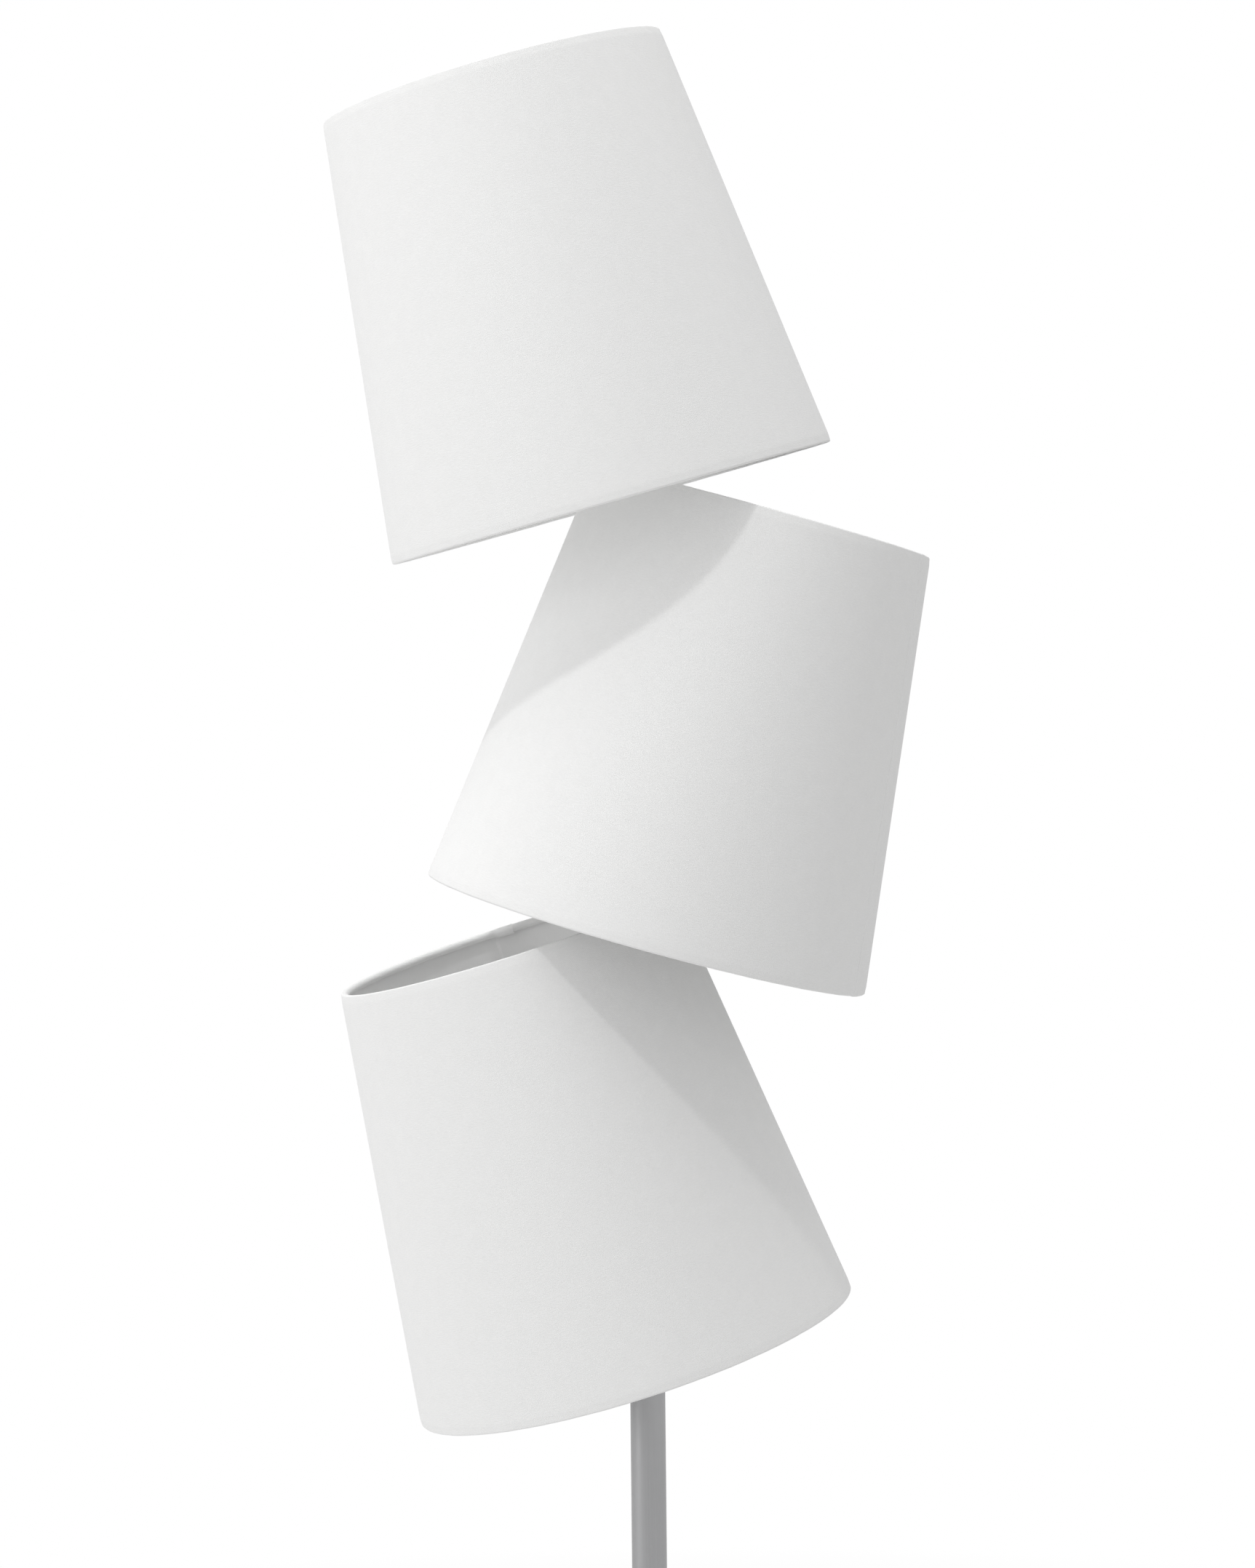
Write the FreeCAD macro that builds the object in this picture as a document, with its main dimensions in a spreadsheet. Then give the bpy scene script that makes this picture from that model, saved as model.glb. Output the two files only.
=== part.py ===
"""Free-standing floor lamp: one pole, a round weighted base and three leaning drum shades.

Frame: millimetres, +Z up, the origin at the centre of the base's underside, +X to the viewer's right.
Each shade leans in the XZ plane and belongs to a unit that swivels about the pole:
  unit frame   origin on the pole's axis at the arm's height, +X towards the side the shade leans to
  shade frame  origin at the centre of the shade's lower rim, +Z along the shade's own axis
  holder frame origin at the foot of the lampholder, +Z along the shade's own axis
"""
import FreeCAD, Part
import math
import os
import Sketcher

# Driving dimensions: millimetres, and degrees for the leans, turns and headings.
SIZES = {
    # base
    "base_diameter": 290.0,
    "pad_thickness": 2.0,
    "pad_inset": 2.5,
    "weight_thickness": 16.0,
    "cover_thickness": 1.2,
    "cover_fillet": 3.0,
    "cover_lift": 1.0,
    "nut_recess_radius": 17.0,
    "nut_recess_depth": 12.0,
    "lead_channel_width": 14.0,
    "lead_channel_depth": 13.0,
    "nut_across_flats": 17.0,
    "nut_height": 8.0,
    "tie_tube_diameter": 10.0,
    "tie_tube_bore": 7.0,
    "tie_tube_tail": 1.5,
    "tie_tube_grip": 30.0,
    # inlet for the supply cord
    "inlet_bore_diameter": 6.6,
    "inlet_body_diameter": 9.0,
    "inlet_flange_diameter": 12.0,
    "inlet_flange_thickness": 1.6,
    "inlet_play": 0.2,
    # pole
    "pole_diameter": 25.0,
    "pole_wall": 1.5,
    "foot_diameter": 42.0,
    "foot_thickness": 8.0,
    "foot_fillet": 2.0,
    "spigot_length": 34.0,
    "lower_joint_height": 500.0,
    "upper_joint_height": 1000.0,
    "coupler_length": 50.0,
    "coupler_bore": 6.6,
    "pole_end_rise": 6.0,
    "cap_dome_height": 4.0,
    "cap_plug_length": 9.0,
    "trunk_lead_diameter": 6.0,
    # swivel collar and arm
    "collar_diameter": 36.0,
    "collar_height": 20.0,
    "stop_ring_height": 8.0,
    "arm_tube_diameter": 10.0,
    "arm_tube_bore": 7.0,
    "arm_bend_radius": 14.0,
    "arm_neck_length": 6.0,
    "arm_thread_length": 6.0,
    "arm_lead_diameter": 4.0,
    "arm_lead_start": 4.4,
    "lead_slot_width": 14.0,
    "lead_slot_height": 8.0,
    "screw_diameter": 5.0,
    "screw_head_diameter": 11.0,
    "screw_head_length": 8.0,
    "screw_neck_length": 2.0,
    # shade
    "shade_bottom_radius": 160.6,
    "shade_top_radius": 122.5,
    "shade_length": 309.4,
    "fabric_thickness": 0.6,
    "liner_thickness": 0.5,
    "ring_wire_diameter": 4.0,
    "edge_roll_angle": 250.0,
    "spoke_diameter": 3.2,
    "spoke_count": 3,
    "fitter_height": 155.0,
    "fitter_bore": 40.6,
    "fitter_diameter": 58.0,
    "fitter_thickness": 2.0,
    # lampholder
    "holder_diameter": 40.0,
    "holder_wall": 1.6,
    "holder_neck_diameter": 18.0,
    "holder_neck_length": 5.0,
    "holder_cap_length": 22.0,
    "holder_length": 58.0,
    "holder_floor": 6.4,
    "shoulder_height": 40.0,
    "shoulder_diameter": 50.0,
    "shoulder_thickness": 2.0,
    "holder_mouth_diameter": 30.4,
    "core_base": 24.0,
    "core_floor": 8.0,
    "core_socket_diameter": 27.8,
    "contact_diameter": 6.0,
    "contact_height": 3.0,
    "clamp_ring_diameter": 56.0,
    "clamp_ring_height": 8.0,
    "clamp_notch_diameter": 3.0,
    "clamp_notch_count": 18,
    # bulb
    "bulb_length": 107.0,
    "bulb_diameter": 60.0,
    "bulb_neck_diameter": 28.0,
    "bulb_neck_angle": 40.0,
    "bulb_glass_thickness": 1.0,
    "bulb_cap_diameter": 26.2,
    "bulb_cap_length": 27.0,
    "bulb_contact_diameter": 9.0,
    "bulb_contact_height": 2.0,
    "bulb_cap_taper": 4.0,
    # clearances
    "running_clearance": 0.05,
    "thread_clearance": 0.1,
    "seat_clearance": 0.3,
    # where each shade stands: height of its lower rim's centre, how far that centre lies
    # from the pole's axis towards the lean, the lean, and the heading of the lean about the pole
    "lower_rim_height": 765.0,
    "lower_offset": 7.9,
    "lower_lean_angle": 16.77,
    "lower_heading_angle": 180.0,
    "middle_rim_height": 1064.9,
    "middle_offset": 2.2,
    "middle_lean_angle": 15.99,
    "middle_heading_angle": 0.0,
    "upper_rim_height": 1369.3,
    "upper_offset": 19.0,
    "upper_lean_angle": 15.17,
    "upper_heading_angle": 180.0,
}

UNITS = ("lower", "middle", "upper")

# Sizes worked out from the driving ones, in the order in which they are needed.
DERIVED = {
    "base_radius": "Sizes.base_diameter / 2",
    "pad_radius": "base_radius - Sizes.pad_inset",
    "cover_bore_radius": "base_radius - Sizes.cover_thickness",
    "weight_radius": "cover_bore_radius - 2 * Sizes.inlet_flange_thickness",
    "weight_top": "Sizes.pad_thickness + Sizes.weight_thickness",
    "cover_top": "weight_top + Sizes.cover_thickness",
    "tie_radius": "Sizes.tie_tube_diameter / 2",
    "tie_hole_radius": "tie_radius + Sizes.running_clearance",
    "nut_top": "Sizes.pad_thickness + Sizes.nut_recess_depth",
    "nut_bottom": "nut_top - Sizes.nut_height",
    "tie_tube_bottom": "nut_bottom - Sizes.tie_tube_tail",
    "foot_top": "cover_top + Sizes.foot_thickness",
    "tie_tube_top": "foot_top + Sizes.tie_tube_grip",
    "inlet_height": "Sizes.pad_thickness + Sizes.lead_channel_depth / 2",
    "pole_radius": "Sizes.pole_diameter / 2",
    "pole_bore_radius": "pole_radius - Sizes.pole_wall",
    "spigot_radius": "pole_bore_radius - Sizes.running_clearance",
    "collar_bore_radius": "pole_radius + Sizes.running_clearance",
    "collar_radius": "Sizes.collar_diameter / 2",
    "collar_half": "Sizes.collar_height / 2",
    "arm_radius": "Sizes.arm_tube_diameter / 2",
    "arm_hole_radius": "arm_radius + Sizes.running_clearance",
    "wall_slope": "(Sizes.shade_bottom_radius - Sizes.shade_top_radius) / Sizes.shade_length",
    "wall_angle": "atan(wall_slope) / 1 deg",
    "wire_radius": "Sizes.ring_wire_diameter / 2",
    "roll_inner": "wire_radius + Sizes.seat_clearance",
    "roll_outer": "roll_inner + Sizes.fabric_thickness",
    "wire_inset": "roll_outer / cos(wall_angle)",
    "low_wire_height": "roll_outer",
    "low_wire_radius": "Sizes.shade_bottom_radius - wall_slope * low_wire_height - wire_inset",
    "top_wire_height": "Sizes.shade_length - roll_outer",
    "top_wire_radius": "Sizes.shade_bottom_radius - wall_slope * top_wire_height - wire_inset",
    "liner_low": "low_wire_height + roll_inner",
    "liner_top": "top_wire_height - roll_inner",
    "liner_outer": "(roll_inner - Sizes.seat_clearance) / cos(wall_angle)",
    "liner_inner": "liner_outer - Sizes.liner_thickness / cos(wall_angle)",
    "fitter_radius": "Sizes.fitter_diameter / 2",
    "spoke_radius": "Sizes.spoke_diameter / 2",
    "spoke_top_radius": "fitter_radius - spoke_radius - Sizes.seat_clearance",
    "spoke_top_height": "Sizes.fitter_height - spoke_radius - Sizes.thread_clearance",
    "spoke_run": "low_wire_radius - spoke_top_radius",
    "spoke_rise": "spoke_top_height - low_wire_height",
    "spoke_tilt": "atan(spoke_run / spoke_rise) / 1 deg",
    "spoke_inset": "roll_outer + Sizes.seat_clearance",
    "spoke_length": "sqrt(spoke_run ^ 2 + spoke_rise ^ 2) - spoke_inset",
    "holder_foot": "Sizes.fitter_height - Sizes.shoulder_height",
    "holder_radius": "Sizes.holder_diameter / 2",
    "holder_bore_radius": "holder_radius - Sizes.holder_wall",
    "holder_mouth_radius": "Sizes.holder_mouth_diameter / 2",
    "core_radius": "holder_bore_radius - Sizes.seat_clearance",
    "core_socket_radius": "Sizes.core_socket_diameter / 2",
    "core_floor_top": "Sizes.core_base + Sizes.core_floor",
    "core_top": "Sizes.holder_length - Sizes.holder_wall",
    "contact_top": "core_floor_top + Sizes.contact_height",
    "clamp_bottom": "Sizes.shoulder_height + Sizes.fitter_thickness",
    "bulb_radius": "Sizes.bulb_diameter / 2",
    "bulb_cap_radius": "Sizes.bulb_cap_diameter / 2",
    "bulb_cap_top": "contact_top + Sizes.bulb_cap_length",
    "bulb_centre": "contact_top + Sizes.bulb_length - bulb_radius",
    "bulb_inner_radius": "bulb_radius - Sizes.bulb_glass_thickness",
    "neck_radius": "Sizes.bulb_neck_diameter / 2",
    "neck_end_radius": "bulb_radius * cos(Sizes.bulb_neck_angle)",
    "neck_curve": "(neck_end_radius - neck_radius) / (1 - cos(Sizes.bulb_neck_angle))",
    "neck_end": "bulb_centre - bulb_radius * sin(Sizes.bulb_neck_angle)",
    "neck_start": "neck_end - neck_curve * sin(Sizes.bulb_neck_angle)",
}
for _unit in UNITS:
    DERIVED[f"{_unit}_turn"] = f"90 - Sizes.{_unit}_lean_angle"
    DERIVED[f"{_unit}_setback"] = f"Sizes.arm_bend_radius * tan({_unit}_turn / 2)"
    DERIVED[f"{_unit}_along"] = f"holder_foot - Sizes.arm_neck_length - {_unit}_setback"
    DERIVED[f"{_unit}_reach"] = f"Sizes.{_unit}_offset + {_unit}_along * sin(Sizes.{_unit}_lean_angle)"
    DERIVED[f"{_unit}_bend"] = f"{_unit}_reach - {_unit}_setback"
    DERIVED[f"{_unit}_drop"] = f"{_unit}_along * cos(Sizes.{_unit}_lean_angle)"
    DERIVED[f"{_unit}_arm_height"] = f"Sizes.{_unit}_rim_height + {_unit}_drop"
DERIVED["pole_top"] = "upper_arm_height + collar_half + Sizes.pole_end_rise"
DERIVED["trunk_lead_top"] = "upper_arm_height + Sizes.arm_lead_diameter / 2"

doc = FreeCAD.newDocument("LeaningShadeLamp")
sizes = doc.addObject("Spreadsheet::Sheet", "Sizes")
derived = doc.addObject("Spreadsheet::Sheet", "Derived")
NODES = []


def fill_sheets():
    """Write the driving dimensions as plain numbers and the worked-out ones as formulas."""
    for row, (alias, number) in enumerate(SIZES.items(), start=1):
        sizes.set(f"A{row}", str(number))
        sizes.setAlias(f"A{row}", alias)
    doc.recompute()
    for row, (alias, formula) in enumerate(DERIVED.items(), start=1):
        derived.set(f"A{row}", f"={formula}")
        derived.setAlias(f"A{row}", alias)
    doc.recompute()


def value(expression):
    """The number that an expression on the two sheets stands for."""
    found = sizes.evalExpression(str(expression))
    return float(getattr(found, "Value", found))


def size(alias):
    """A driving dimension, as an expression."""
    return f"Sizes.{alias}"


def worked(alias):
    """A worked-out size, as an expression."""
    return f"Derived.{alias}"


def vector(across, along, up):
    """A vector of three expressions."""
    return FreeCAD.Vector(value(across), value(along), value(up))


# ---------------------------------------------------------------- placements

def unit_frame(unit):
    """On the pole's axis at the arm's height, with +X towards the lean."""
    turn = FreeCAD.Rotation(FreeCAD.Vector(0, 0, 1), value(size(f"{unit}_heading_angle")))
    return FreeCAD.Placement(vector(0, 0, worked(f"{unit}_arm_height")), turn)


def shade_frame(unit):
    """At the centre of the shade's lower rim, with +Z along the leaning axis."""
    lean = FreeCAD.Rotation(FreeCAD.Vector(0, 1, 0), value(size(f"{unit}_lean_angle")))
    start = vector(size(f"{unit}_offset"), 0, f"-Derived.{unit}_drop")
    return unit_frame(unit) * FreeCAD.Placement(start, lean)


def holder_frame(unit):
    """At the foot of the lampholder, with +Z along the leaning axis."""
    return shade_frame(unit) * FreeCAD.Placement(vector(0, 0, worked("holder_foot")), FreeCAD.Rotation())


# ---------------------------------------------------------------- building blocks

def node(shape_object, label, placement=None):
    """Register a finished piece under its name and put it in its place."""
    shape_object.Label = label
    if placement is not None:
        shape_object.Placement = placement
    NODES.append(shape_object)
    return shape_object


def plane(body, role):
    """One of a body's own origin planes or axes."""
    return next(item for item in body.Origin.OriginFeatures if item.Role == role)


def bind(sketch, kind, geometry, point, expression):
    """Fix one coordinate of a sketch point to an expression."""
    index = sketch.addConstraint(Sketcher.Constraint(kind, -1, 1, geometry, point, value(expression)))
    sketch.setExpression(f"Constraints[{index}]", str(expression))


def arc_between(start, end, radius, side, long_way):
    """An arc that bulges to the left (side 1) or right (side -1) of the way from start to end."""
    chord = end - start
    normal = FreeCAD.Vector(-chord.y, chord.x, 0) / chord.Length
    height = math.sqrt(radius ** 2 - (chord.Length / 2) ** 2)
    centre = (start + end) / 2 + normal * (side * height * (1 if long_way else -1))
    first, last = (end, start) if side > 0 else (start, end)
    opening, closing = (math.atan2(spot.y - centre.y, spot.x - centre.x) for spot in (first, last))
    circle = Part.Circle(centre, FreeCAD.Vector(0, 0, 1), radius)
    return Part.ArcOfCircle(circle, opening, opening + (closing - opening) % (2 * math.pi))


def profile(body, label, points, role="XZ_Plane"):
    """A closed sketch. Each point is (x, y), or (x, y, arc) where an arc leads on to the next point.

    An arc is (radius, side, long way round): side 1 bulges to the left of the way, side -1 to the right.
    """
    sketch = body.newObject("Sketcher::SketchObject", label)
    sketch.AttachmentSupport = (plane(body, role), [""])
    sketch.MapMode = "FlatFace"
    spots = [FreeCAD.Vector(value(point[0]), value(point[1]), 0) for point in points]
    arcs = [point[2] if len(point) > 2 else None for point in points]
    ends = []
    for index, (start, arc) in enumerate(zip(spots, arcs)):
        end = spots[(index + 1) % len(spots)]
        if arc is None:
            sketch.addGeometry(Part.LineSegment(start, end), False)
            ends.append((1, 2))
            continue
        radius, side, long_way = arc
        sketch.addGeometry(arc_between(start, end, value(radius), side, long_way), False)
        ends.append((2, 1) if side > 0 else (1, 2))
    for index, (_, last) in enumerate(ends):
        following = (index + 1) % len(ends)
        sketch.addConstraint(Sketcher.Constraint("Coincident", index, last, following, ends[following][0]))
    for index, point in enumerate(points):
        bind(sketch, "DistanceX", index, ends[index][0], point[0])
        bind(sketch, "DistanceY", index, ends[index][0], point[1])
        if arcs[index] is not None:
            number = sketch.addConstraint(Sketcher.Constraint("Radius", index, value(arcs[index][0])))
            sketch.setExpression(f"Constraints[{number}]", str(arcs[index][0]))
    return sketch


def turned(label, points, placement=None):
    """A piece turned about its own Z axis from a closed (radius, height) outline."""
    body = doc.addObject("PartDesign::Body", label + "_body")
    sketch = profile(body, label + "_outline", points)
    turn = body.newObject("PartDesign::Revolution", label + "_turn")
    turn.Profile = sketch
    turn.ReferenceAxis = (sketch, ["V_Axis"])
    turn.Angle = 360.0
    sketch.Visibility = False
    return node(body, label, placement)


def wire_ring(label, radius, height, placement):
    """A closed ring of round wire."""
    body = doc.addObject("PartDesign::Body", label + "_body")
    sketch = body.newObject("Sketcher::SketchObject", label + "_outline")
    sketch.AttachmentSupport = (plane(body, "XZ_Plane"), [""])
    sketch.MapMode = "FlatFace"
    centre = FreeCAD.Vector(value(radius), value(height), 0)
    wire = worked("wire_radius")
    sketch.addGeometry(Part.Circle(centre, FreeCAD.Vector(0, 0, 1), value(wire)), False)
    bind(sketch, "DistanceX", 0, 3, radius)
    bind(sketch, "DistanceY", 0, 3, height)
    number = sketch.addConstraint(Sketcher.Constraint("Radius", 0, value(wire)))
    sketch.setExpression(f"Constraints[{number}]", wire)
    turn = body.newObject("PartDesign::Revolution", label + "_turn")
    turn.Profile = sketch
    turn.ReferenceAxis = (sketch, ["V_Axis"])
    turn.Angle = 360.0
    return node(body, label, placement)


def cylinder(label, radius, height, placement=None):
    """A plain cylinder, as a piece or as a tool."""
    solid = doc.addObject("Part::Cylinder", label)
    solid.setExpression("Radius", str(radius))
    solid.setExpression("Height", str(height))
    if placement is not None:
        solid.Placement = placement
    return solid


def block(label, length, width, height, corner):
    """A plain block, by its sizes and its lowest corner."""
    solid = doc.addObject("Part::Box", label)
    solid.setExpression("Length", str(length))
    solid.setExpression("Width", str(width))
    solid.setExpression("Height", str(height))
    solid.Placement.Base = corner
    return solid


def joined(label, pieces):
    """Several solids made one."""
    fuse = doc.addObject("Part::MultiFuse", label)
    fuse.Shapes = pieces
    return fuse


def cut(label, base, tool):
    """One solid less another."""
    less = doc.addObject("Part::Cut", label)
    less.Base = base
    less.Tool = tool
    return less


def grouped(label, pieces, placement=None):
    """Identical pieces that share a name and stay separate solids."""
    group = doc.addObject("Part::Compound", label + "_group")
    group.Links = pieces
    return node(group, label, placement)


def bent_rod(label, unit, radius, start, riser):
    """A rod along the arm's path: out from the pole, round the bend and up the leaning axis."""
    lean = value(size(f"{unit}_lean_angle"))
    setback = value(worked(f"{unit}_setback"))
    outwards = FreeCAD.Placement(vector(start, 0, 0), FreeCAD.Rotation(FreeCAD.Vector(0, 1, 0), 90))
    run = cylinder(label + "_run", radius, f"Derived.{unit}_bend - {start}", outwards)
    bend = doc.addObject("Part::Torus", label + "_bend")
    bend.setExpression("Radius1", size("arm_bend_radius"))
    bend.setExpression("Radius2", str(radius))
    bend.setExpression("Angle3", worked(f"{unit}_turn"))
    upright = FreeCAD.Rotation(
        FreeCAD.Vector(0, 0, -1), FreeCAD.Vector(1, 0, 0), FreeCAD.Vector(0, -1, 0), "XYZ")
    bend.Placement = FreeCAD.Placement(vector(worked(f"{unit}_bend"), 0, size("arm_bend_radius")), upright)
    foot = FreeCAD.Vector(
        value(worked(f"{unit}_reach")) + setback * math.sin(math.radians(lean)), 0,
        setback * math.cos(math.radians(lean)))
    rise = cylinder(label + "_rise", radius, riser,
                    FreeCAD.Placement(foot, FreeCAD.Rotation(FreeCAD.Vector(0, 1, 0), lean)))
    return joined(label, [run, bend, rise])


# ---------------------------------------------------------------- base

def base_pad():
    """Felt disc under the base."""
    turned("base_pad", [
        (0, 0), (worked("pad_radius"), 0),
        (worked("pad_radius"), size("pad_thickness")), (0, size("pad_thickness"))])


def base_weight():
    """Steel disc with a hole for the tie tube, a recess for the nut and a channel to the rear edge."""
    disc = cylinder("weight_disc", worked("weight_radius"), size("weight_thickness"))
    hole = cylinder("weight_hole", worked("tie_hole_radius"), size("weight_thickness"))
    recess = cylinder("weight_recess", size("nut_recess_radius"), size("nut_recess_depth"))
    channel = block("weight_channel", size("lead_channel_width"), worked("weight_radius"),
                    size("lead_channel_depth"), vector("-Sizes.lead_channel_width / 2", 0, 0))
    weight = cut("weight_cut", disc, joined("weight_tools", [hole, recess, channel]))
    node(weight, "base_weight", FreeCAD.Placement(vector(0, 0, size("pad_thickness")), FreeCAD.Rotation()))


def base_cover():
    """Spun cover: a flat top and a skirt, with a hole at the rear for the inlet."""
    edge = size("cover_fillet")
    inner_edge = "(Sizes.cover_fillet - Sizes.cover_thickness)"
    body = doc.addObject("PartDesign::Body", "base_cover_body")
    outline = profile(body, "cover_outline", [
        (worked("tie_hole_radius"), worked("weight_top")),
        (f"Derived.cover_bore_radius - {inner_edge}", worked("weight_top"), (inner_edge, 1, False)),
        (worked("cover_bore_radius"), f"Derived.weight_top - {inner_edge}"),
        (worked("cover_bore_radius"), size("cover_lift")),
        (worked("base_radius"), size("cover_lift")),
        (worked("base_radius"), f"Derived.cover_top - {edge}", (edge, -1, False)),
        (f"Derived.base_radius - {edge}", worked("cover_top")),
        (worked("tie_hole_radius"), worked("cover_top"))])
    turn = body.newObject("PartDesign::Revolution", "cover_turn")
    turn.Profile = outline
    turn.ReferenceAxis = (outline, ["V_Axis"])
    turn.Angle = 360.0
    backwards = FreeCAD.Placement(
        vector(0, worked("weight_radius"), worked("inlet_height")),
        FreeCAD.Rotation(FreeCAD.Vector(1, 0, 0), -90))
    hole = cylinder("inlet_hole", "Sizes.inlet_body_diameter / 2 + Sizes.running_clearance",
                    "2 * (Derived.base_radius - Derived.weight_radius)", backwards)
    node(cut("cover_cut", body, hole), "base_cover")


def cable_grommet():
    """Rubber bush with a groove that holds the skirt; its bore takes the supply cord."""
    bore = "Sizes.inlet_bore_diameter / 2"
    barrel = "Sizes.inlet_body_diameter / 2"
    flange = "Sizes.inlet_flange_diameter / 2"
    lip = size("inlet_flange_thickness")
    skirt = "(Sizes.cover_thickness + 2 * Sizes.inlet_play)"
    backwards = FreeCAD.Placement(
        vector(0, f"Derived.cover_bore_radius - Sizes.inlet_play - {lip}", worked("inlet_height")),
        FreeCAD.Rotation(FreeCAD.Vector(1, 0, 0), -90))
    turned("cable_grommet", [
        (bore, 0), (flange, 0), (flange, lip), (barrel, lip), (barrel, f"{lip} + {skirt}"),
        (flange, f"{lip} + {skirt}"), (flange, f"2 * {lip} + {skirt}"), (bore, f"2 * {lip} + {skirt}")],
        backwards)


def tie_tube():
    """Hollow threaded tube from the nut up into the pole's foot."""
    turned("tie_tube", [
        ("Sizes.tie_tube_bore / 2", worked("tie_tube_bottom")),
        (worked("tie_radius"), worked("tie_tube_bottom")),
        (worked("tie_radius"), worked("tie_tube_top")), ("Sizes.tie_tube_bore / 2", worked("tie_tube_top"))])


def tie_nut():
    """Hexagon nut that pulls the tie tube down against the weight."""
    hexagon = doc.addObject("Part::Prism", "nut_hexagon")
    hexagon.Polygon = 6
    hexagon.setExpression("Circumradius", "Sizes.nut_across_flats / (2 * cos(30))")
    hexagon.setExpression("Height", size("nut_height"))
    hole = cylinder("nut_hole", worked("tie_hole_radius"), size("nut_height"))
    node(cut("nut_cut", hexagon, hole), "tie_nut",
         FreeCAD.Placement(vector(0, 0, worked("nut_bottom")), FreeCAD.Rotation()))


# ---------------------------------------------------------------- pole

def pole_foot():
    """Turned flange on the cover, with a spigot up into the pole."""
    fillet = size("foot_fillet")
    turned("pole_foot", [
        (worked("tie_hole_radius"), worked("cover_top")), ("Sizes.foot_diameter / 2", worked("cover_top")),
        ("Sizes.foot_diameter / 2", f"Derived.foot_top - {fillet}", (fillet, -1, False)),
        (f"Sizes.foot_diameter / 2 - {fillet}", worked("foot_top")),
        (worked("spigot_radius"), worked("foot_top")),
        (worked("spigot_radius"), "Derived.foot_top + Sizes.spigot_length"),
        (worked("tie_hole_radius"), "Derived.foot_top + Sizes.spigot_length")])


def pole_section(label, bottom, top, units):
    """One tube of the pole, with a slot for the lead at each collar it carries."""
    length = f"({top}) - ({bottom})"
    tube = cylinder(label + "_outside", worked("pole_radius"), length)
    tools = [cylinder(label + "_bore", worked("pole_bore_radius"), length)]
    for unit in units:
        slot = block(f"{unit}_slot", worked("pole_radius"), size("lead_slot_width"), size("lead_slot_height"),
                     vector(0, "-Sizes.lead_slot_width / 2", "-Sizes.lead_slot_height / 2"))
        slot.Placement = unit_frame(unit) * slot.Placement
        slot.Placement.Base.z -= value(bottom)
        tools.append(slot)
    tool = joined(label + "_tools", tools) if len(tools) > 1 else tools[0]
    node(cut(label + "_cut", tube, tool), label,
         FreeCAD.Placement(vector(0, 0, bottom), FreeCAD.Rotation()))


def pole():
    """Three tube sections, the couplers between them, the plug on top and the lead inside."""
    pole_section("pole_lower", worked("foot_top"), size("lower_joint_height"), ())
    pole_section("pole_middle", size("lower_joint_height"), size("upper_joint_height"), ("lower",))
    pole_section("pole_upper", size("upper_joint_height"), worked("pole_top"), ("middle", "upper"))
    couplers = []
    for name in ("lower_joint_height", "upper_joint_height"):
        stud = cylinder(name + "_stud", worked("spigot_radius"), size("coupler_length"))
        bore = cylinder(name + "_stud_bore", "Sizes.coupler_bore / 2", size("coupler_length"))
        coupler = cut(name + "_coupler", stud, bore)
        coupler.Placement.Base = vector(0, 0, f"Sizes.{name} - Sizes.coupler_length / 2")
        couplers.append(coupler)
    grouped("pole_couplers", couplers)
    dome_radius = "((Derived.pole_radius ^ 2 + Sizes.cap_dome_height ^ 2) / (2 * Sizes.cap_dome_height))"
    turned("pole_cap", [
        (0, "-Sizes.cap_plug_length"), (worked("spigot_radius"), "-Sizes.cap_plug_length"),
        (worked("spigot_radius"), 0), (worked("pole_radius"), 0, (dome_radius, -1, False)),
        (0, size("cap_dome_height"))],
        FreeCAD.Placement(vector(0, 0, worked("pole_top")), FreeCAD.Rotation()))
    lead = cylinder("trunk_lead_rod", "Sizes.trunk_lead_diameter / 2",
                    "Derived.trunk_lead_top - Sizes.pad_thickness",
                    FreeCAD.Placement(vector(0, 0, size("pad_thickness")), FreeCAD.Rotation()))
    node(lead, "trunk_lead")


def stop_rings():
    """The three rings on the pole that the swivel collars rest on."""
    rings = []
    for unit in UNITS:
        ring = cylinder(f"{unit}_ring_outside", worked("collar_radius"), size("stop_ring_height"))
        bore = cylinder(f"{unit}_ring_bore", worked("collar_bore_radius"), size("stop_ring_height"))
        stop = cut(f"{unit}_stop_ring", ring, bore)
        stop.Placement.Base = vector(
            0, 0, f"Derived.{unit}_arm_height - Derived.collar_half - Sizes.stop_ring_height")
        rings.append(stop)
    grouped("stop_rings", rings)


# ---------------------------------------------------------------- shade

def around(wire, reach, degrees):
    """A point at some reach from a ring wire's centre, by its angle from the wall's outward normal."""
    angle = f"(Derived.wall_angle + {degrees})"
    return (f"Derived.{wire}_wire_radius + {reach} * cos{angle}",
            f"Derived.{wire}_wire_height + {reach} * sin{angle}")


def shade_fabric(unit):
    """Tapered fabric whose two edges are rolled over the wire rings."""
    outer, inner = worked("roll_outer"), worked("roll_inner")
    roll = size("edge_roll_angle")
    turned(f"{unit}_shade_fabric", [
        around("low", outer, 0),
        (*around("top", outer, 0), (outer, -1, True)),
        around("top", outer, roll),
        (*around("top", inner, roll), (inner, 1, True)),
        around("top", inner, 0),
        (*around("low", inner, 0), (inner, 1, True)),
        around("low", inner, f"-{roll}"),
        (*around("low", outer, f"-{roll}"), (outer, -1, True))],
        shade_frame(unit))


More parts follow.
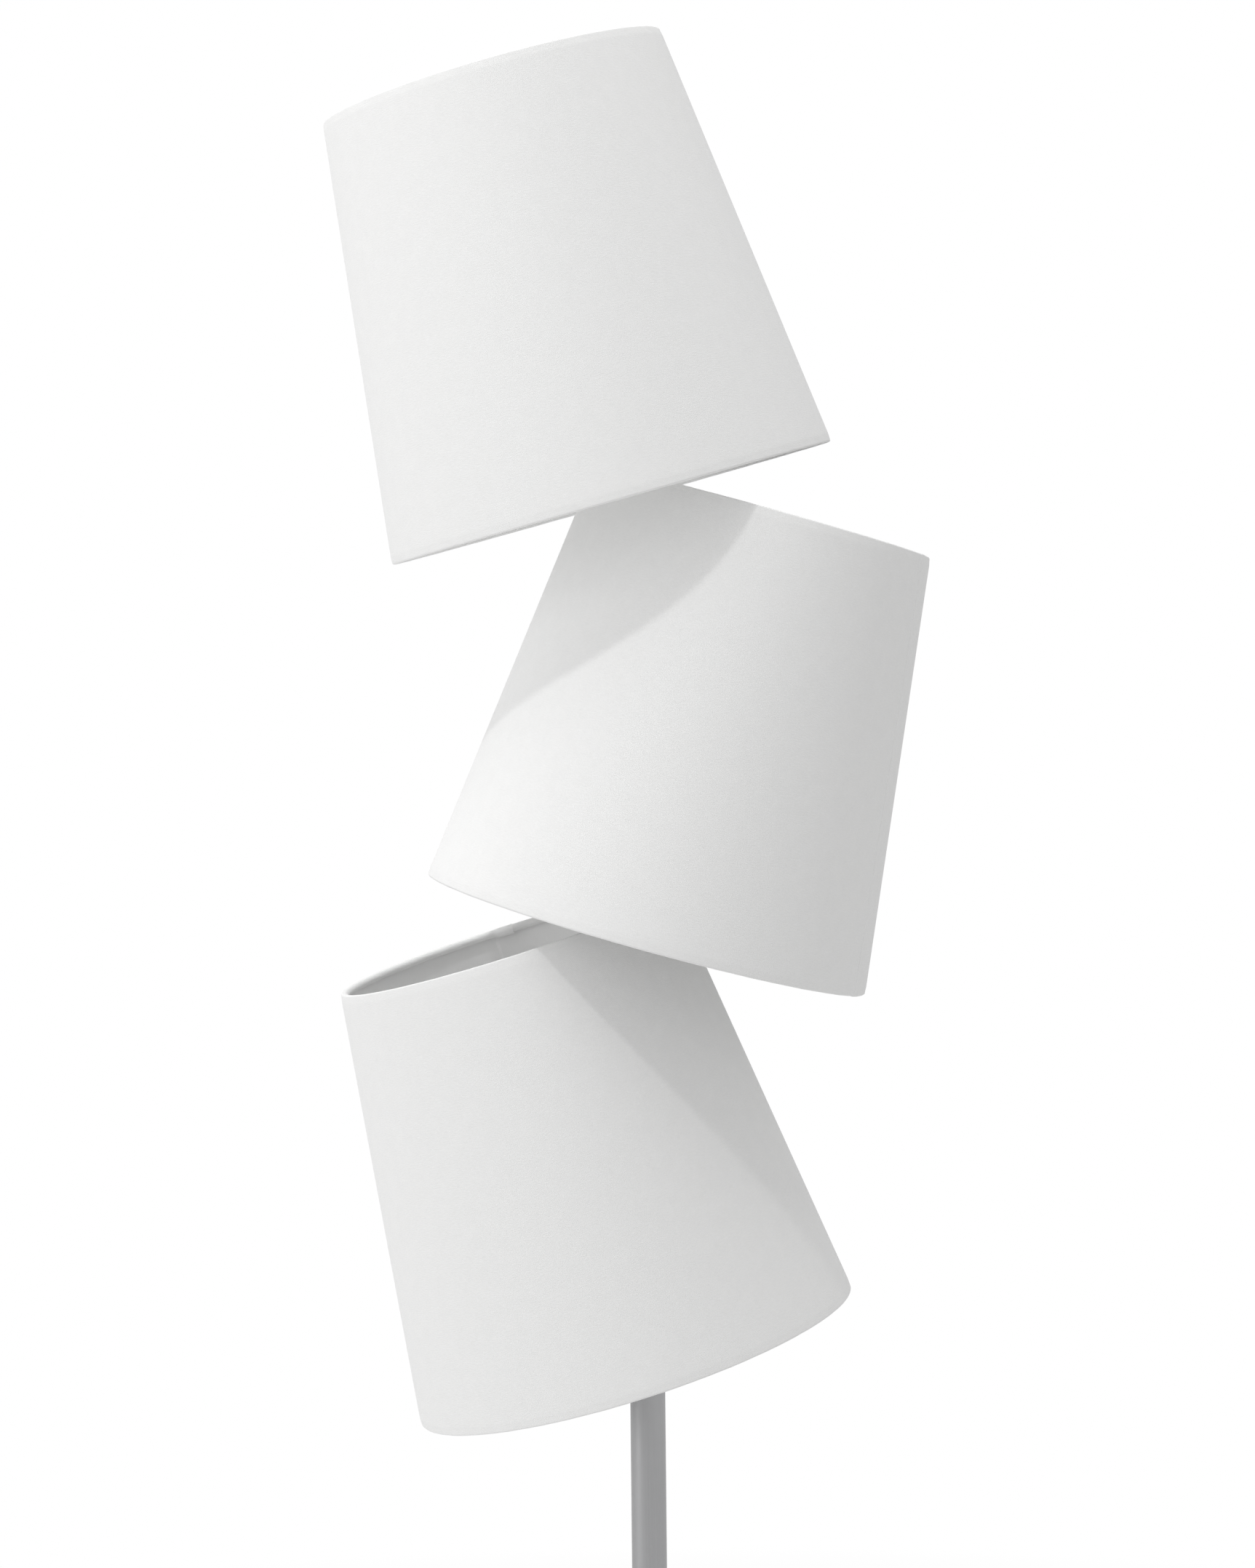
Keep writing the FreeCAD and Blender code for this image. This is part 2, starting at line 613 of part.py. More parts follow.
def shade_liner(unit):
    """Stiff liner inside the fabric, between the two rolled edges."""
    def wall(height, offset):
        slope = f"Derived.wall_slope * (Derived.{height} - Derived.low_wire_height)"
        return f"Derived.low_wire_radius - {slope} + Derived.{offset}", worked(height)

    turned(f"{unit}_shade_liner", [
        wall("liner_low", "liner_inner"), wall("liner_low", "liner_outer"),
        wall("liner_top", "liner_outer"), wall("liner_top", "liner_inner")],
        shade_frame(unit))


def shade_rings(unit):
    """The two wire rings that the fabric is rolled over."""
    for end, label in (("top", "top_ring"), ("low", "bottom_ring")):
        wire_ring(f"{unit}_{label}", worked(f"{end}_wire_radius"), worked(f"{end}_wire_height"),
                  shade_frame(unit))


def shade_spokes(unit):
    """Rods from the bottom ring up to the underside of the fitter ring."""
    tilt = value(worked("spoke_tilt"))
    count = int(value(size("spoke_count")))
    lean_in = math.radians(tilt)
    inset = value(worked("spoke_inset"))
    start = FreeCAD.Vector(
        value(worked("low_wire_radius")) - inset * math.sin(lean_in), 0,
        value(worked("low_wire_height")) + inset * math.cos(lean_in))
    along = FreeCAD.Placement(start, FreeCAD.Rotation(FreeCAD.Vector(0, 1, 0), -tilt))
    spokes = []
    for number in range(count):
        turn = FreeCAD.Placement(
            FreeCAD.Vector(), FreeCAD.Rotation(FreeCAD.Vector(0, 0, 1), 360.0 * number / count))
        spokes.append(cylinder(f"{unit}_spoke_{number + 1}", worked("spoke_radius"), worked("spoke_length"),
                               turn * along))
    grouped(f"{unit}_spokes", spokes, shade_frame(unit))


def fitter_ring(unit):
    """Flat ring on the lampholder's shoulder, at the top of the spokes."""
    bottom = size("shoulder_height")
    top = worked("clamp_bottom")
    turned(f"{unit}_fitter_ring", [
        ("Sizes.fitter_bore / 2", bottom), (worked("fitter_radius"), bottom),
        (worked("fitter_radius"), top), ("Sizes.fitter_bore / 2", top)],
        holder_frame(unit))


# ---------------------------------------------------------------- lampholder and bulb

def clamp_ring(unit):
    """Threaded ring with a notched rim that clamps the fitter ring down."""
    label = f"{unit}_clamp_ring"
    bottom = worked("clamp_bottom")
    top = "(Derived.clamp_bottom + Sizes.clamp_ring_height)"
    bore = "Derived.holder_radius + Sizes.thread_clearance"
    rim = "Sizes.clamp_ring_diameter / 2"
    body = turned(label, [(bore, bottom), (rim, bottom), (rim, top), (bore, top)], holder_frame(unit))
    sketch = body.newObject("Sketcher::SketchObject", label + "_notch")
    sketch.AttachmentSupport = (plane(body, "XY_Plane"), [""])
    sketch.MapMode = "FlatFace"
    notch = "Sizes.clamp_notch_diameter / 2"
    sketch.addGeometry(Part.Circle(vector(rim, 0, 0), FreeCAD.Vector(0, 0, 1), value(notch)), False)
    bind(sketch, "DistanceX", 0, 3, rim)
    bind(sketch, "DistanceY", 0, 3, 0)
    number = sketch.addConstraint(Sketcher.Constraint("Radius", 0, value(notch)))
    sketch.setExpression(f"Constraints[{number}]", notch)
    doc.recompute()
    whole = body.Shape.Volume
    pocket = body.newObject("PartDesign::Pocket", label + "_cut")
    pocket.Profile = sketch
    pocket.Type = "ThroughAll"
    pocket.Reversed = True
    pattern = body.newObject("PartDesign::PolarPattern", label + "_notches")
    pattern.Originals = [pocket]
    pattern.Axis = (plane(body, "Z_Axis"), [""])
    pattern.Angle = 360.0
    pattern.setExpression("Occurrences", size("clamp_notch_count"))
    body.Tip = pattern
    doc.recompute()
    if body.Shape.Volume >= whole:
        raise RuntimeError(f"the notches of {label} cut nothing")


def holder_cap(unit):
    """Domed cap that screws on the arm's threaded end."""
    neck = "Sizes.holder_neck_diameter / 2"
    bore = worked("arm_hole_radius")
    wall = size("holder_wall")
    flare = "(Sizes.holder_cap_length - Sizes.holder_neck_length)"
    turned(f"{unit}_holder_cap", [
        (bore, 0), (neck, 0), (neck, size("holder_neck_length")),
        (worked("holder_radius"), size("holder_cap_length")),
        (worked("holder_bore_radius"), size("holder_cap_length")),
        (f"{neck} - {wall} + {wall} * (Derived.holder_radius - {neck}) / {flare}", size("holder_floor")),
        (bore, size("holder_floor"))],
        holder_frame(unit))


def holder_shell(unit):
    """Sleeve of the lampholder with the shoulder that carries the shade."""
    outside = worked("holder_radius")
    shoulder = "Sizes.shoulder_diameter / 2"
    step = "Sizes.shoulder_height - Sizes.shoulder_thickness"
    turned(f"{unit}_holder_shell", [
        (worked("holder_bore_radius"), size("holder_cap_length")), (outside, size("holder_cap_length")),
        (outside, step), (shoulder, step), (shoulder, size("shoulder_height")),
        (outside, size("shoulder_height")), (outside, size("holder_length")),
        (worked("holder_mouth_radius"), size("holder_length")),
        (worked("holder_mouth_radius"), worked("core_top")),
        (worked("holder_bore_radius"), worked("core_top"))],
        holder_frame(unit))


def holder_core(unit):
    """Insulating core with the screw socket and the centre contact."""
    turned(f"{unit}_holder_core", [
        (0, size("core_base")), (worked("core_radius"), size("core_base")),
        (worked("core_radius"), worked("core_top")), (worked("core_socket_radius"), worked("core_top")),
        (worked("core_socket_radius"), worked("core_floor_top")),
        ("Sizes.contact_diameter / 2", worked("core_floor_top")),
        ("Sizes.contact_diameter / 2", worked("contact_top")), (0, worked("contact_top"))],
        holder_frame(unit))


def bulb_cap(unit):
    """Metal screw cap of the bulb, with its foot contact."""
    contact = "Sizes.bulb_contact_diameter / 2"
    rim = "Derived.contact_top + Sizes.bulb_contact_height"
    turned(f"{unit}_bulb_cap", [
        (0, worked("contact_top")), (contact, worked("contact_top")), (contact, rim),
        (worked("bulb_cap_radius"), f"{rim} + Sizes.bulb_cap_taper"),
        (worked("bulb_cap_radius"), worked("bulb_cap_top")), (0, worked("bulb_cap_top"))],
        holder_frame(unit))


def bulb_glass(unit):
    """Hollow pear-shaped glass."""
    wall = size("bulb_glass_thickness")
    turn = size("bulb_neck_angle")
    outer, inner = worked("bulb_radius"), worked("bulb_inner_radius")
    curve = worked("neck_curve")
    inner_curve = f"(Derived.neck_curve + {wall})"
    turned(f"{unit}_bulb_glass", [
        (f"Derived.neck_radius - {wall}", worked("bulb_cap_top")),
        (worked("neck_radius"), worked("bulb_cap_top")),
        (worked("neck_radius"), worked("neck_start"), (curve, 1, False)),
        (worked("neck_end_radius"), worked("neck_end"), (outer, -1, False)),
        (0, f"Derived.bulb_centre + {outer}"),
        (0, f"Derived.bulb_centre + {inner}", (inner, 1, False)),
        (f"{inner} * cos({turn})", f"Derived.bulb_centre - {inner} * sin({turn})", (inner_curve, -1, False)),
        (f"Derived.neck_radius - {wall}", worked("neck_start"))],
        holder_frame(unit))


# ---------------------------------------------------------------- swivel arm

def swivel_arm(unit):
    """Collar that turns on the pole, with the bent tube that carries the lampholder."""
    riser = "Sizes.arm_neck_length + Sizes.arm_thread_length"
    low = vector(0, 0, "-Derived.collar_half")
    upright = FreeCAD.Placement(low, FreeCAD.Rotation())
    collar = cylinder(f"{unit}_collar", worked("collar_radius"), size("collar_height"), upright)
    tube = bent_rod(f"{unit}_tube", unit, worked("arm_radius"),
                    "(Derived.pole_radius + Derived.collar_radius) / 2", riser)
    bore = cylinder(f"{unit}_collar_bore", worked("collar_bore_radius"), size("collar_height"), upright)
    lead_way = bent_rod(f"{unit}_lead_way", unit, "Sizes.arm_tube_bore / 2", worked("spigot_radius"), riser)
    backwards = FreeCAD.Placement(FreeCAD.Vector(), FreeCAD.Rotation(FreeCAD.Vector(0, 1, 0), -90))
    tapped = cylinder(f"{unit}_screw_hole", "Sizes.screw_diameter / 2 + Sizes.running_clearance",
                      worked("collar_radius"), backwards)
    arm = cut(f"{unit}_arm_cut", joined(f"{unit}_arm_solid", [collar, tube]),
              joined(f"{unit}_arm_tools", [bore, lead_way, tapped]))
    node(arm, f"{unit}_swivel_arm", unit_frame(unit))


def collar_screw(unit):
    """Knurled screw whose tip rubs on the pole and holds the shade where it is turned."""
    shank = "Sizes.screw_diameter / 2"
    head = "Sizes.screw_head_diameter / 2"
    tip = "(Derived.pole_radius + 2 * Sizes.running_clearance)"
    seat = "(Derived.collar_radius + Sizes.screw_neck_length)"
    tail = f"({seat} + Sizes.screw_head_length)"
    backwards = FreeCAD.Placement(FreeCAD.Vector(), FreeCAD.Rotation(FreeCAD.Vector(0, 1, 0), -90))
    turned(f"{unit}_collar_screw", [
        (0, tip), (shank, tip), (shank, seat), (head, seat), (head, tail), (0, tail)],
        unit_frame(unit) * backwards)


def arm_lead(unit):
    """Lead from inside the pole, through the arm, to the lampholder's core."""
    riser = "Sizes.arm_neck_length + Sizes.core_base"
    lead = bent_rod(f"{unit}_lead_rod", unit, "Sizes.arm_lead_diameter / 2", size("arm_lead_start"), riser)
    node(lead, f"{unit}_arm_lead", unit_frame(unit))


# ---------------------------------------------------------------- the whole lamp

def build():
    """Make every piece of the lamp."""
    for make in (base_pad, base_weight, base_cover, cable_grommet, tie_tube, tie_nut, pole_foot, pole,
                 stop_rings):
        make()
    unit_pieces = (shade_fabric, shade_liner, shade_rings, shade_spokes, fitter_ring, clamp_ring, holder_cap,
                   holder_shell, holder_core, bulb_cap, bulb_glass, swivel_arm, collar_screw, arm_lead)
    for unit in UNITS:
        for make in unit_pieces:
            make(unit)
    doc.recompute()


def check():
    """Stop if any object failed or any piece is empty or broken."""
    failed = [item.Name for item in doc.Objects if "Invalid" in item.State or "Error" in item.State]
    if failed:
        raise RuntimeError(f"these objects failed: {failed}")
    for piece in NODES:
        if piece.Shape.isNull() or not piece.Shape.isValid() or not piece.Shape.Solids:
            raise RuntimeError(f"{piece.Label} has no valid solid")


def export():
    """Write one STEP file for each piece."""
    os.makedirs("parts", exist_ok=True)
    for piece in NODES:
        piece.Shape.exportStep(f"parts/{piece.Label}.step")
        print(f"{piece.Label}: {len(piece.Shape.Solids)} solid(s), {piece.Shape.Volume:.1f} mm3")


fill_sheets()
build()
check()
export()
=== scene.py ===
"""Looks of a free-standing floor lamp: one satin pole, a round base and three leaning fabric shades.

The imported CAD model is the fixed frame. Every piece is made in metres, in that frame, with +Z up, the
floor at zero and the viewer on the -Y side. The fabric and the liner of each shade are new pieces that
stand for the CAD's plain ones; the other CAD nodes keep their shapes and get their finishes here.
"""
import logging
import math
from dataclasses import dataclass, field
from enum import Enum

import bmesh
import bpy
from mathutils import Matrix, Vector


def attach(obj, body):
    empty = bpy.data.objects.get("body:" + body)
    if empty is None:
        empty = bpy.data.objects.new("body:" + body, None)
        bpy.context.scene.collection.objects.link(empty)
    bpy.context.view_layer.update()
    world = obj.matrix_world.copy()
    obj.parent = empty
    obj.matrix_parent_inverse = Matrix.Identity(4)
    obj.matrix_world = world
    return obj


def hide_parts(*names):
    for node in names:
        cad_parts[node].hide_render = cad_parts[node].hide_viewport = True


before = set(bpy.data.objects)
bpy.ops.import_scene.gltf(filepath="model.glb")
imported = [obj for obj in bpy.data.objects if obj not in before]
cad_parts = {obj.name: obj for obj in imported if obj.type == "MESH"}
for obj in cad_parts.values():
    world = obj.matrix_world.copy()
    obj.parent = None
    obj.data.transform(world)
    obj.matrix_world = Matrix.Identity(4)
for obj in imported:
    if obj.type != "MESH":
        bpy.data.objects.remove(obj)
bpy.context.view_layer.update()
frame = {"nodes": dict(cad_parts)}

MM = 0.001
FULL_TURN = 2 * math.pi
WHITE = (1.0, 1.0, 1.0, 1.0)
# Most of a noise texture's values lie between these two.
NOISE_RANGE = (0.3, 0.7)
# An edge that bends more than this is shaded as sharp.
SHARP_EDGE = math.radians(38)
# A vertex nearer than this to a cut counts as lying on it.
CUT_SLACK = 0.02 * MM

Colour = tuple[float, float, float]
Socket = bpy.types.NodeSocket
Given = Socket | float
Owner = bpy.types.Material | bpy.types.World
Mesh = bmesh.types.BMesh
log = logging.getLogger("leaning_shade_lamp")


class Unit(Enum):
    """The three lamp units, by the name that starts their nodes."""

    LOWER = "lower"
    MIDDLE = "middle"
    UPPER = "upper"

    @property
    def body(self) -> str:
        """The CAD body that the unit's pieces ride on."""
        return f"{self.value}_unit"


class Grain(Enum):
    """Which way a metal is brushed: the scale of its grain along X, Y and Z."""

    ALONG_POLE = (900.0, 900.0, 14.0)
    ALL_ROUND = (260.0, 260.0, 260.0)


def share(value: float) -> float:
    """A value kept between 0 and 1."""
    return max(0.0, min(1.0, value))


# ---------------------------------------------------------------- finishes

class Shading:
    """The node tree of a material or of the world, put together with short calls."""

    def __init__(self, owner: Owner) -> None:
        """Start an empty node tree.

        Args:
            owner: the material or the world that the tree belongs to.
        """
        owner.use_nodes = True
        self.owner = owner
        self.tree = owner.node_tree
        self.tree.nodes.clear()

    @classmethod
    def named(cls, name: str) -> "Shading":
        """The empty node tree of a new material."""
        return cls(bpy.data.materials.new(name))

    def add(self, kind: str, inputs: dict | None = None, **settings: str) -> bpy.types.Node:
        """Add a node.

        Args:
            kind: the node's type, without its common beginning.
            inputs: values or sockets for its input sockets, by name or number.
            settings: the node's own settings.

        Returns:
            The new node.
        """
        made = self.tree.nodes.new("ShaderNode" + kind)
        for key, setting in settings.items():
            setattr(made, key, setting)
        for key, given in (inputs or {}).items():
            if isinstance(given, Socket):
                self.tree.links.new(given, made.inputs[key])
            else:
                made.inputs[key].default_value = given
        return made

    def math(self, operation: str, first: Given, second: Given = 0.0, third: Given = 0.0) -> Socket:
        """A Math node of up to three values, and its result."""
        return self.add("Math", {0: first, 1: second, 2: third}, operation=operation).outputs[0]

    def remap(self, value: Given, low: float, high: float, to_low: Given, to_high: Given) -> Socket:
        """A value moved from one range to another, and kept inside it."""
        inputs = {"Value": value, "From Min": low, "From Max": high, "To Min": to_low, "To Max": to_high}
        return self.add("MapRange", inputs).outputs[0]

    def spread(self, noise: Socket, low: float, high: float) -> Socket:
        """A noise, with its usual values spread from low to high."""
        return self.remap(noise, *NOISE_RANGE, low, high)

    def noise(self, place: Socket, scale: float, detail: float = 2.0, roughness: float = 0.5) -> Socket:
        """A Noise Texture's value, from 0 to 1."""
        inputs = {"Vector": place, "Scale": scale, "Detail": detail, "Roughness": roughness}
        return self.add("TexNoise", inputs).outputs[0]

    def stretched(self, place: Socket, scale: tuple[float, float, float]) -> Socket:
        """A place with each of its axes scaled."""
        return self.add("Mapping", {"Vector": place, "Scale": scale}).outputs[0]

    def object_place(self) -> Socket:
        """The place on the piece, in metres."""
        return self.add("TexCoord").outputs["Object"]

    def tint(self, colour: Colour, strength: Given) -> Socket:
        """A colour made lighter or darker by a factor around 1."""
        return self.add("VectorMath", {0: colour, "Scale": strength}, operation="SCALE").outputs[0]

    def bump(self, height: Socket, depth: float) -> Socket:
        """A surface's normal from a height of 0 to 1 over a depth in metres."""
        return self.add("Bump", {"Height": height, "Distance": depth, "Strength": 1.0}).outputs[0]

    def end(self, shader: bpy.types.Node, output: str = "OutputMaterial") -> Owner:
        """Send a shader to the tree's output, and give back what the tree belongs to."""
        self.tree.links.new(shader.outputs[0], self.add(output).inputs[0])
        return self.owner

    def finish(self, inputs: dict) -> bpy.types.Material:
        """End the tree with a Principled shader that has these values or sockets."""
        return self.end(self.add("BsdfPrincipled", inputs))


@dataclass(frozen=True)
class WovenFabric:
    """Off-white plain weave, with short slubs along its weft and a few specks of lint."""

    name: str = "woven_fabric"
    colour: Colour = (0.905, 0.905, 0.9)
    thread_pitch: float = 0.55 * MM
    slub_size: tuple[float, float] = (3.2 * MM, 0.8 * MM)
    slub_range: tuple[float, float] = (0.32, 0.68)
    slub_contrast: float = 0.034
    mottle_scale: float = 90.0
    mottle_contrast: float = 0.016
    lint_spacing: float = 26 * MM
    lint_radius: float = 0.55 * MM
    lint_core: float = 0.4
    lint_rarity: float = 0.55
    lint_contrast: float = 0.05
    weave_relief: float = 0.45
    slub_relief: float = 0.55
    lint_relief: float = 0.8
    relief_depth: float = 0.09 * MM

    def make(self) -> bpy.types.Material:
        """Build the material on the piece's own UV map, whose unit is a metre.

        Returns:
            The finished material.
        """
        shade = Shading.named(self.name)
        cloth = shade.add("UVMap", uv_map="cloth").outputs[0]
        across, along, _ = shade.add("SeparateXYZ", {0: cloth}).outputs
        turns = math.pi / self.thread_pitch
        warp = shade.math("SINE", shade.math("MULTIPLY", across, turns))
        weft = shade.math("SINE", shade.math("MULTIPLY", along, turns))
        weave = shade.math("MULTIPLY_ADD", shade.math("MULTIPLY", warp, weft), 0.5, 0.5)
        slub_place = shade.stretched(cloth, (1 / self.slub_size[0], 1 / self.slub_size[1], 1.0))
        slub_noise = shade.noise(slub_place, scale=1.0, detail=3.0, roughness=0.55)
        slubs = shade.remap(slub_noise, *self.slub_range, 0.0, 1.0)
        mottle = shade.spread(shade.noise(cloth, self.mottle_scale), 0.0, 1.0)
        lint = self.lint(shade, cloth)
        light = shade.math("MULTIPLY_ADD", shade.math("SUBTRACT", slubs, 0.5), self.slub_contrast, 1.0)
        light = shade.math("MULTIPLY_ADD", shade.math("SUBTRACT", mottle, 0.5), self.mottle_contrast, light)
        light = shade.math("MULTIPLY_ADD", lint, self.lint_contrast, light)
        height = shade.math("MULTIPLY", weave, self.weave_relief)
        height = shade.math("MULTIPLY_ADD", slubs, self.slub_relief, height)
        height = shade.math("MULTIPLY_ADD", lint, self.lint_relief, height)
        return shade.finish({
            "Base Color": shade.tint(self.colour, light),
            "Roughness": 0.88,
            "Specular IOR Level": 0.22,
            "Sheen Weight": 0.06,
            "Sheen Roughness": 0.6,
            "Normal": shade.bump(height, self.relief_depth),
        })

    def lint(self, shade: Shading, cloth: Socket) -> Socket:
        """Small raised specks, one in some of the cells that the cloth is divided into.

        Args:
            shade: the material's node tree.
            cloth: the place on the cloth, in metres.

        Returns:
            1 on a speck and 0 beside it.
        """
        cells = shade.add("TexVoronoi", {"Vector": cloth, "Scale": 1 / self.lint_spacing})
        edge = self.lint_radius / self.lint_spacing
        speck = shade.remap(cells.outputs["Distance"], edge, edge * self.lint_core, 0.0, 1.0)
        draw = shade.add("SeparateXYZ", {0: cells.outputs["Color"]}).outputs[0]
        return shade.math("MULTIPLY", speck, shade.math("GREATER_THAN", draw, self.lint_rarity))


@dataclass(frozen=True)
class SmoothSheet:
    """Matte sheet or moulded plastic, with a faint unevenness."""

    name: str
    colour: Colour
    roughness: float = 0.55
    roughness_play: float = 0.04
    unevenness: float = 0.01
    cloud_scale: float = 26.0
    grain_scale: float = 380.0
    grain_depth: float = 0.02 * MM
    coat: float = 0.0

    def make(self) -> bpy.types.Material:
        """Build the material on the piece's own place.

        Returns:
            The finished material.
        """
        shade = Shading.named(self.name)
        place = shade.object_place()
        cloud = shade.noise(place, self.cloud_scale, detail=3.0)
        grain = shade.noise(place, self.grain_scale)
        strength = shade.spread(cloud, 1 - self.unevenness, 1 + self.unevenness)
        play = self.roughness_play
        rough = shade.spread(grain, self.roughness - play, self.roughness + play)
        return shade.finish({
            "Base Color": shade.tint(self.colour, strength),
            "Roughness": rough,
            "Coat Weight": self.coat,
            "Coat Roughness": 0.12,
            "Normal": shade.bump(grain, self.grain_depth),
        })


@dataclass(frozen=True)
class BrushedMetal:
    """Metal with fine brushing, and slightly worn patches."""

    name: str
    colour: Colour
    roughness: float
    grain: Grain
    tone_play: float = 0.045
    line_play: float = 0.05
    patch_play: float = 0.04
    patch_scale: float = 30.0
    grain_depth: float = 0.012 * MM

    def make(self) -> bpy.types.Material:
        """Build the material on the piece's own place.

        Returns:
            The finished material.
        """
        shade = Shading.named(self.name)
        place = shade.object_place()
        lines = shade.noise(shade.stretched(place, self.grain.value), scale=1.0, detail=3.0, roughness=0.6)
        patches = shade.noise(place, self.patch_scale, detail=3.0)
        strength = shade.spread(lines, 1 - self.tone_play, 1 + self.tone_play)
        brushed = shade.spread(lines, -self.line_play, self.line_play)
        worn = shade.spread(patches, self.roughness - self.patch_play, self.roughness + self.patch_play)
        return shade.finish({
            "Base Color": shade.tint(self.colour, strength),
            "Metallic": 1.0,
            "Roughness": shade.math("ADD", brushed, worn),
            "Normal": shade.bump(lines, self.grain_depth),
        })


@dataclass(frozen=True)
class CastIron:
    """Unfinished iron with a sandy skin and traces of rust."""

    name: str = "cast_iron"
    iron: tuple[float, float, float, float] = (0.13, 0.13, 0.135, 1.0)
    rust: tuple[float, float, float, float] = (0.2, 0.11, 0.07, 1.0)
    rust_scale: float = 40.0
    rust_range: tuple[float, float] = (0.55, 0.72)
    roughness_range: tuple[float, float] = (0.55, 0.85)
    sand_scale: float = 700.0
    sand_depth: float = 0.08 * MM

    def make(self) -> bpy.types.Material:
        """Build the material on the piece's own place.

        Returns:
            The finished material.
        """
        shade = Shading.named(self.name)
        place = shade.object_place()
        rust_noise = shade.noise(place, self.rust_scale, detail=4.0, roughness=0.6)
        rusty = shade.remap(rust_noise, *self.rust_range, 0.0, 1.0)
        blend = shade.add("Mix", {0: rusty, 6: self.iron, 7: self.rust}, data_type="RGBA")
        sand = shade.noise(place, self.sand_scale)
        return shade.finish({
            "Base Color": blend.outputs[2],
            "Metallic": 0.6,
            "Roughness": shade.remap(rusty, 0.0, 1.0, *self.roughness_range),
            "Normal": shade.bump(sand, self.sand_depth),
        })


@dataclass(frozen=True)
class FeltPad:
    """Pressed grey felt with tangled fibres."""

    name: str = "pressed_felt"
    colour: Colour = (0.075, 0.075, 0.08)
    fibre_scale: float = 1600.0
    fibre_stretch: tuple[float, float, float] = (1.0, 0.45, 1.0)
    fibre_depth: float = 0.15 * MM
    tone_range: tuple[float, float] = (0.7, 1.4)

    def make(self) -> bpy.types.Material:
        """Build the material on the piece's own place.

        Returns:
            The finished material.
        """
        shade = Shading.named(self.name)
        place = shade.stretched(shade.object_place(), self.fibre_stretch)
        fibres = shade.noise(place, self.fibre_scale, detail=4.0, roughness=0.7)
        return shade.finish({
            "Base Color": shade.tint(self.colour, shade.spread(fibres, *self.tone_range)),
            "Roughness": 0.95,
            "Sheen Weight": 0.4,
            "Normal": shade.bump(fibres, self.fibre_depth),
        })


@dataclass(frozen=True)
class OpalGlass:
    """White opal glass of a bulb, with a faint cloudiness under a clear skin."""

    name: str = "opal_glass"
    colour: Colour = (0.9, 0.9, 0.885)
    cloud_scale: float = 60.0
    tone_range: tuple[float, float] = (0.985, 1.01)
    roughness_range: tuple[float, float] = (0.28, 0.36)

    def make(self) -> bpy.types.Material:
        """Build the material on the piece's own place.

        Returns:
            The finished material.
        """
        shade = Shading.named(self.name)
        cloud = shade.noise(shade.object_place(), self.cloud_scale)
        return shade.finish({
            "Base Color": shade.tint(self.colour, shade.spread(cloud, *self.tone_range)),
            "Roughness": shade.spread(cloud, *self.roughness_range),
            "Coat Weight": 0.35,
            "Coat Roughness": 0.08,
            "Subsurface Weight": 0.15,
            "Subsurface Scale": 0.004,
        })


class Wardrobe:
    """Every finish of the lamp, by the record's material slot."""

    def __init__(self) -> None:
        """List the finish of each slot."""
        self.by_slot = {
            "shade_fabric": WovenFabric(),
            "shade_liner": SmoothSheet("styrene_liner", (0.96, 0.96, 0.955), roughness=0.6,
                                       grain_scale=900.0),
            "white_wire": SmoothSheet("white_enamel", (0.86, 0.86, 0.855), roughness=0.34, coat=0.25),
            "white_plastic": SmoothSheet("white_plastic", (0.82, 0.82, 0.81), roughness=0.42),
            "insulator": SmoothSheet("cream_insulator", (0.72, 0.7, 0.64), roughness=0.5),
            "bulb_metal": BrushedMetal("bulb_brass_cap", (0.72, 0.7, 0.66), 0.3, Grain.ALL_ROUND),
            "opal_glass": OpalGlass(),
            "satin_steel": BrushedMetal("satin_steel", (0.36, 0.36, 0.365), 0.46, Grain.ALONG_POLE),
            "plated_steel": BrushedMetal("plated_steel", (0.6, 0.6, 0.58), 0.34, Grain.ALL_ROUND),
            "raw_iron": CastIron(),
            "felt": FeltPad(),
            "dark_rubber": SmoothSheet("dark_rubber", (0.03, 0.03, 0.032), roughness=0.7, unevenness=0.1),
            "lead_sheath": SmoothSheet("clear_grey_sheath", (0.62, 0.62, 0.6), roughness=0.38),
        }
        self.made: dict[str, bpy.types.Material] = {}

    def material(self, slot: str) -> bpy.types.Material:
        """The material for a slot, made when it is first asked for.

        Args:
            slot: the slot's name in the record.

        Returns:
            The slot's one material.
        """
        if slot not in self.made:
            self.made[slot] = self.by_slot[slot].make()
        return self.made[slot]

    def dress_cad(self, nodes: dict[str, bpy.types.Object]) -> None:
        """Give every CAD node the finish of the slot that it was packed with.

        Args:
            nodes: the CAD nodes by name.
        """
        for name, node in nodes.items():
            for place in node.material_slots:
                place.material = self.material(place.material.name.split(".")[0])
            log.info("dressed %s", name)


# ---------------------------------------------------------------- camera, light and floor

